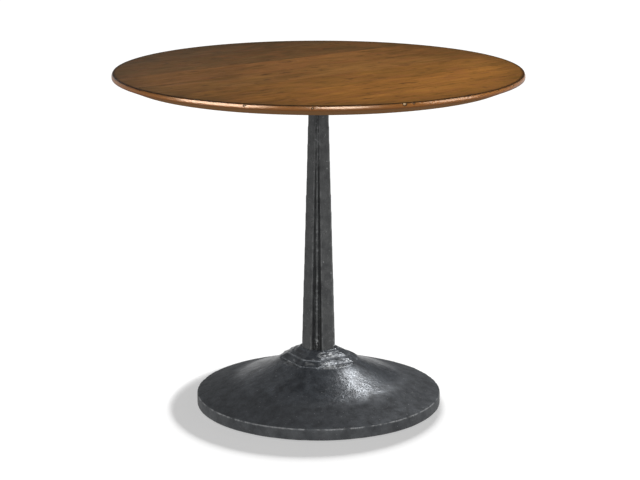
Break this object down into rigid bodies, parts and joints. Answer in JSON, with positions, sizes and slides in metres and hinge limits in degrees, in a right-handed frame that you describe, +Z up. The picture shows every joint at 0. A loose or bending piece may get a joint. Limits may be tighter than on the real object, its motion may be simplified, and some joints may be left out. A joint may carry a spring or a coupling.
{
  "type": "cafe table",
  "caption": "Round planked wooden top on a spider plate, carried by a tapered cast iron column with a stepped plinth and a bell shaped foot on screw levellers.",
  "frame": {"origin": "on the floor, on the axis of the column", "axes": "+Z up; +X along the planks of the top; the column's raised faces look along X and Y"},
  "size_m": [0.9, 0.9, 0.76],
  "materials": {
    "cast_iron": "blackened casting with a waxed satin sheen, worn lighter along its edges",
    "top_wood": "walnut brown stain under satin lacquer, edge burnished dark",
    "zinc_steel": "zinc plated",
    "pad_nylon": "moulded nylon, matte"
  },
  "bodies": {
    "table": {"base_casting": "cast_iron", "column_casting": "cast_iron", "spider_plate": "cast_iron", "tie_rod": "zinc_steel", "rod_washer_lower": "zinc_steel", "rod_nut_lower": "zinc_steel", "rod_washer_upper": "zinc_steel", "rod_nut_upper": "zinc_steel", "wood_screws": "zinc_steel", "top_board_1": "top_wood", "top_board_2": "top_wood", "top_board_3": "top_wood", "top_board_4": "top_wood", "top_board_5": "top_wood", "top_board_6": "top_wood", "top_board_7": "top_wood"},
    "leveller_1_pad": {"leveller_pad_1": "pad_nylon"},
    "leveller_1_screw": {"leveller_stem_1": "zinc_steel"},
    "leveller_2_pad": {"leveller_pad_2": "pad_nylon"},
    "leveller_2_screw": {"leveller_stem_2": "zinc_steel"},
    "leveller_3_pad": {"leveller_pad_3": "pad_nylon"},
    "leveller_3_screw": {"leveller_stem_3": "zinc_steel"},
    "leveller_4_pad": {"leveller_pad_4": "pad_nylon"},
    "leveller_4_screw": {"leveller_stem_4": "zinc_steel"}
  },
  "joints": [
    {"name": "leveller_1_lift", "type": "slide", "parent": "table", "child": "leveller_1_pad", "axis": [0, 0, 1], "range_m": [-0.01, 0]},
    {"name": "leveller_1_turn", "type": "hinge", "parent": "leveller_1_pad", "child": "leveller_1_screw", "pos_m": [0.1591, 0.1591, 0.012], "axis": [0, 0, 1], "range_deg": [-2400, 0]},
    {"name": "leveller_2_lift", "type": "slide", "parent": "table", "child": "leveller_2_pad", "axis": [0, 0, 1], "range_m": [-0.01, 0]},
    {"name": "leveller_2_turn", "type": "hinge", "parent": "leveller_2_pad", "child": "leveller_2_screw", "pos_m": [-0.1591, 0.1591, 0.012], "axis": [0, 0, 1], "range_deg": [-2400, 0]},
    {"name": "leveller_3_lift", "type": "slide", "parent": "table", "child": "leveller_3_pad", "axis": [0, 0, 1], "range_m": [-0.01, 0]},
    {"name": "leveller_3_turn", "type": "hinge", "parent": "leveller_3_pad", "child": "leveller_3_screw", "pos_m": [-0.1591, -0.1591, 0.012], "axis": [0, 0, 1], "range_deg": [-2400, 0]},
    {"name": "leveller_4_lift", "type": "slide", "parent": "table", "child": "leveller_4_pad", "axis": [0, 0, 1], "range_m": [-0.01, 0]},
    {"name": "leveller_4_turn", "type": "hinge", "parent": "leveller_4_pad", "child": "leveller_4_screw", "pos_m": [0.1591, -0.1591, 0.012], "axis": [0, 0, 1], "range_deg": [-2400, 0]}
  ],
  "couplings": [
    {"joint": "leveller_1_turn", "follows": "leveller_1_lift", "rad_per_m": 4188.8},
    {"joint": "leveller_2_turn", "follows": "leveller_2_lift", "rad_per_m": 4188.8},
    {"joint": "leveller_3_turn", "follows": "leveller_3_lift", "rad_per_m": 4188.8},
    {"joint": "leveller_4_turn", "follows": "leveller_4_lift", "rad_per_m": 4188.8}
  ]
}
